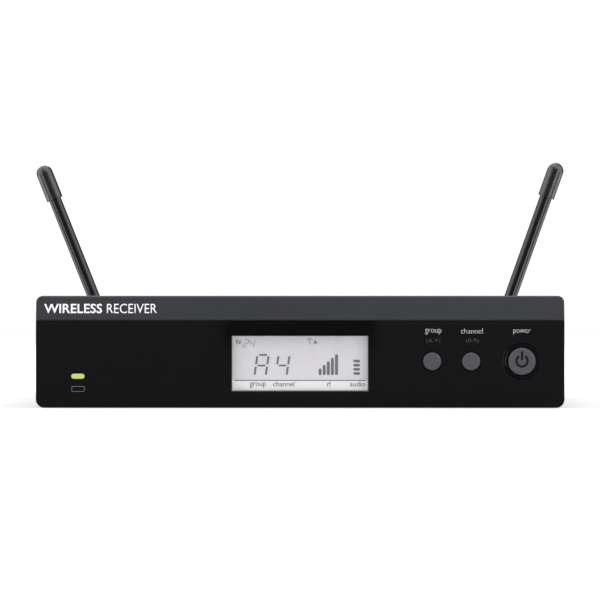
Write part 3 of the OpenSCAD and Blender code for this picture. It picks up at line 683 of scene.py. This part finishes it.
def button_labels():
    """What each button sets, over it, and the ranges of two of them."""
    labels = (  # name, text, button, shift and rise from its middle, width and height in mm, ink
        ("group_label", "group", "group_button", 0.4, 10.0, 6.05, 2.1, LABEL_INK),
        ("channel_label", "channel", "channel_button", 0.3, 10.45, 8.0, 1.85, LABEL_INK),
        ("power_label", "power", "power_button", 0.05, 10.0, 6.35, 1.95, LABEL_INK),
        ("group_range", "(A-Y)", "group_button", 0.45, 6.6, 5.0, 1.9, DIM_INK),
        ("channel_range", "(0-9)", "channel_button", 0.45, 6.6, 4.5, 1.9, DIM_INK),
    )
    for name, text, button, shift, rise, width, height, ink in labels:
        x = middle(button).x + (shift - width / 2) * MM
        z = middle(button).z + rise * MM
        size = (width * MM, height * MM)
        lettering(name, text, x, z, *size, FACE_Y, ink, "panel_gloss", LABEL_BOLD)


def battery_sign():
    """Outline of a cell with a narrower end on its right, under the light."""
    light = middle("led_light_pipe")
    left, right = light.x - 2.25 * MM, light.x + 2.55 * MM
    shoulder = right - 0.5 * MM
    z = light.z - 4.75 * MM
    half = 0.95 * MM
    tip = 0.35 * half
    lower = [(left, z - half), (shoulder, z - half), (right, z - tip)]
    upper = [(right, z + tip), (shoulder, z + half), (left, z + half)]
    corners = lower + upper
    line = 0.17 * MM
    strokes = [bar(p, q, line) for p, q in zip(corners, corners[1:] + corners[:1])]
    slab("battery_sign", strokes, FACE_Y, ICON_INK, "case")


def power_sign():
    """Standby sign on the power button: a ring that is open at its top, and a stroke."""
    centre = middle("power_button")
    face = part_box("power_button")[0].y
    radius, line, opening = 2.07 * MM, 0.8 * MM, 32  # the opening reaches so many degrees each way
    ring = arc_band((centre.x, centre.z + 0.2 * MM), radius, line, 90 + opening, 450 - opening)
    stroke = bar((centre.x, centre.z + 0.5 * MM), (centre.x, centre.z + 3.8 * MM), line)
    slab("power_sign", [ring, stroke], face, SYMBOL_INK, "power_key")


def window_border():
    """Black border printed on the window, along its two sides and its foot."""
    side, foot = 0.17 * MM, 0.28 * MM
    x0, x1, z0, z1 = WINDOW_LOW.x, WINDOW_HIGH.x, WINDOW_LOW.z, WINDOW_HIGH.z
    spans = [(x0, x0 + side, z0, z1), (x1 - side, x1, z0, z1), (x0 + side, x1 - side, z0, z0 + foot)]
    plates = [[(a, c), (b, c), (b, d), (a, d)] for a, b, c, d in spans]
    slab("window_border", plates, WINDOW_LOW.y, BORDER_INK, "case")


# ---------- what the display shows, as plates on its glass ----------


def on_display(across_mm, up_mm):
    """A place on the display, from the middle of the window's foot."""
    return (WINDOW.x + across_mm * MM, WINDOW_LOW.z + up_mm * MM)


def large_digits():
    """The group and the channel."""
    shape = dict(height=7.95 * MM, stroke=0.78 * MM, slant=math.radians(8.2))
    group = digit("A", *on_display(-17.0, 5.95), width=4.2 * MM, **shape)
    channel = digit("4", *on_display(-9.1, 5.95), width=4.1 * MM, **shape)
    return group + channel


def small_digits():
    """The television channel."""
    shape = dict(width=1.6 * MM, height=2.95 * MM, stroke=0.28 * MM, slant=math.radians(13))
    return digit("2", *on_display(-21.35, 16.4), **shape) + digit("4", *on_display(-19.05, 16.4), **shape)


def signal_bars():
    """Five upright bars that grow to the right."""
    half, pitch, growth = 0.58 * MM, 1.526 * MM, 1.33 * MM
    x, foot = on_display(7.5, 6.0)
    top = on_display(7.5, 8.52)[1]
    return [pill(x + pitch * i - half, x + pitch * i + half, foot, top + growth * i) for i in range(5)]


def audio_bars():
    """Four level bars over one another."""
    half, pitch = 0.52 * MM, 1.55 * MM
    left, z = on_display(19.87, 6.63)
    right = on_display(22.4, 6.63)[0]
    return [pill(left, right, z + pitch * i - half, z + pitch * i + half) for i in range(4)]


def display_segments():
    """What the liquid crystal draws darkly and faintly."""
    mast_foot, mast_top = on_display(3.6, 17.5), on_display(3.6, 18.65)
    mast = bar(mast_foot, mast_top, 0.36 * MM)
    dark = large_digits() + signal_bars() + audio_bars() + [mast]
    slab("display_segments", dark, GLASS_Y, SEGMENT_INK, "case")
    spread = 65  # degrees that the waves over the mast reach each way
    waves = [arc_band(mast_top, r * MM, 0.26 * MM, 90 - spread, 90 + spread, 10) for r in (0.55, 1.1)]
    reach = 24.5 * MM
    rule = bar((WINDOW.x - reach, RULE_Z), (WINDOW.x + reach, RULE_Z), 0.42 * MM)
    slab("display_fine_segments", small_digits() + waves + [rule], GLASS_Y, FAINT_INK, "case")


def display_words():
    """Captions of the display."""
    words = (  # name, text, place on the display, width and height in mm, boldness
        ("display_tv", "tv", (-24.0, 17.5), 2.15, 1.8, 0.012),
        ("display_band", "A", (4.9, 17.5), 1.55, 1.65, 0.035),
        ("display_group", "group", (-18.8, 1.3), 6.1, 2.0, 0.012),
        ("display_channel", "channel", (-10.1, 1.8), 8.0, 1.85, 0.012),
        ("display_rf", "rf", (10.1, 1.8), 1.45, 1.85, 0.012),
        ("display_audio", "audio", (18.6, 1.8), 5.7, 1.85, 0.012),
    )
    for name, text, place, width, height, bold in words:
        size = (width * MM, height * MM)
        lettering(name, text, *on_display(*place), *size, GLASS_Y, SEGMENT_INK, "lcd", bold)


# ---------- lettering on the rear ----------


def rear_print():
    """Plain words over the rear sockets."""
    height = 1.8 * MM
    labels = (  # name, text, the part it stands over, rise from that part's middle and width in mm
        ("rear_antenna_b", "antenna B", "left_plug_nut", 10.7, 8.6),
        ("rear_antenna_a", "antenna A", "right_plug_nut", 10.7, 8.6),
        ("rear_balanced", "balanced output", "xlr_housing", 15.6, 14.5),
        ("rear_unbalanced", "output", "phone_jack_nut", 11.3, 5.8),
        ("rear_supply", "dc in", "dc_jack_pin", 7.0, 4.4),
    )
    for name, text, part, rise, width in labels:
        centre = middle(part)
        x, z = centre.x + width / 2 * MM, centre.z + rise * MM
        lettering(name, text, x, z, width * MM, height, REAR_Y, WHITE_INK, "case_paint", facing=1)


strip_print()
button_labels()
battery_sign()
power_sign()
window_border()
display_segments()
display_words()
rear_print()

# ---------- studio ----------

DIM_WORLD = (0.155, 0.155, 0.16, 1)  # light from all round the object
WHITE_WORLD = 1.05  # brightness of what the camera sees behind the object
AIM = Vector((0, 0, 40 * MM))  # the point that every lamp is turned to
LAMPS = (  # name, place, size, power; the low ones are there for their reflections
    ("front_softbox", (0.3, -0.95, 1.25), (1.3, 0.7), 6.5),
    ("top_softbox", (0.0, 0.15, 1.15), (1.2, 1.2), 12),
    ("left_softbox", (-1.0, -0.05, 0.5), (1.5, 1.3), 15),
    ("right_softbox", (0.95, -0.25, 0.5), (1.3, 1.3), 14),
    ("front_right_softbox", (0.8, -0.85, -0.15), (0.45, 0.6), 4.5),
    ("front_left_softbox", (-0.85, -0.75, -0.1), (0.3, 0.7), 3.2),
    ("low_left_softbox", (-0.62, 0.15, -0.15), (0.45, 0.3), 1.5),
    ("low_right_softbox", (0.62, 0.15, -0.15), (0.45, 0.3), 1.5),
    ("rear_softbox", (-0.3, 1.2, 0.8), (1.0, 0.7), 6),
)
FLOOR_RADIUS = 3.0
# The floor as the camera sees it:
PAPER = (0.5, 0.5, 0.5, 1)  # how much of the lamps' light it returns
OPEN_GLOW, SHADED_GLOW = 0.88, 0.3  # its own brightness, far from the case and close to it
OPEN_REACH, SHADED_REACH = 0.42, 0.16  # where these are reached, from the middle of the floor
# Before the case the open glow holds up to FRONT_OPEN ahead of the front's face, and it has faded
# out at FRONT_SHADED behind that face.
FRONT_OPEN, FRONT_SHADED = 12 * MM, 15 * MM


def make_world():
    """Dim surroundings that look white to the camera."""
    scene.view_settings.view_transform = "Standard"
    world = bpy.data.worlds.new("studio")
    scene.world = world
    world.use_nodes = True
    tree = world.node_tree
    dim = tree.nodes["Background"]
    dim.inputs["Color"].default_value = DIM_WORLD
    white = tree.nodes.new("ShaderNodeBackground")
    white.inputs["Color"].default_value = (1, 1, 1, 1)
    white.inputs["Strength"].default_value = WHITE_WORLD
    mix = tree.nodes.new("ShaderNodeMixShader")
    path = tree.nodes.new("ShaderNodeLightPath")
    tree.links.new(path.outputs["Is Camera Ray"], mix.inputs["Fac"])
    tree.links.new(dim.outputs["Background"], mix.inputs[1])
    tree.links.new(white.outputs["Background"], mix.inputs[2])
    tree.links.new(mix.outputs["Shader"], tree.nodes["World Output"].inputs["Surface"])


def make_lamps():
    """Soft rectangular lamps, all turned towards the object."""
    for name, place, size, power in LAMPS:
        data = bpy.data.lights.new(name, "AREA")
        data.shape = "RECTANGLE"
        data.size, data.size_y = size
        data.energy = power
        lamp = bpy.data.objects.new(name, data)
        scene.collection.objects.link(lamp)
        lamp.location = place
        lamp.rotation_euler = (AIM - Vector(place)).to_track_quat("-Z", "Y").to_euler()


def whiten(look):
    """Lets the camera see the floor as white paper that dims softly beside and behind the case."""
    tree = look.tree
    place = look.axes()
    squares = [look.maths("POWER", place[axis], 2) for axis in "XY"]
    far = look.maths("SQRT", look.maths("ADD", *squares))
    spread = look.remap(far, SHADED_GLOW, OPEN_GLOW, SHADED_REACH, OPEN_REACH)
    ahead = look.remap(place["Y"], OPEN_GLOW, 0, FACE_Y - FRONT_OPEN, FACE_Y + FRONT_SHADED)
    glow = tree.nodes.new("ShaderNodeEmission")
    look.link(look.maths("MAXIMUM", spread, ahead), glow.inputs["Strength"])
    paper = tree.nodes.new("ShaderNodeBsdfDiffuse")
    paper.inputs["Color"].default_value = PAPER
    both = tree.nodes.new("ShaderNodeAddShader")
    mix = tree.nodes.new("ShaderNodeMixShader")
    path = tree.nodes.new("ShaderNodeLightPath")
    look.link(paper.outputs["BSDF"], both.inputs[0])
    look.link(glow.outputs["Emission"], both.inputs[1])
    look.link(path.outputs["Is Camera Ray"], mix.inputs["Fac"])
    look.link(look.shader.outputs["BSDF"], mix.inputs[1])
    look.link(both.outputs["Shader"], mix.inputs[2])
    look.link(mix.outputs["Shader"], tree.nodes["Material Output"].inputs["Surface"])


def make_floor():
    """Pale round floor, left out of reflections."""
    mesh = bpy.data.meshes.new("floor")
    work = bmesh.new()
    bmesh.ops.create_circle(work, cap_ends=True, segments=96, radius=FLOOR_RADIUS)
    work.to_mesh(mesh)
    work.free()
    floor = bpy.data.objects.new("floor", mesh)
    scene.collection.objects.link(floor)
    look = Look("pale_floor", (0.9, 0.9, 0.9), 0.9, Specular_IOR_Level=0.0)
    look.tint(look.noise(900, 2), (0.88, 0.88, 0.88))
    mesh.materials.append(look.material)
    whiten(look)
    floor.visible_glossy = False


make_world()
make_lamps()
make_floor()
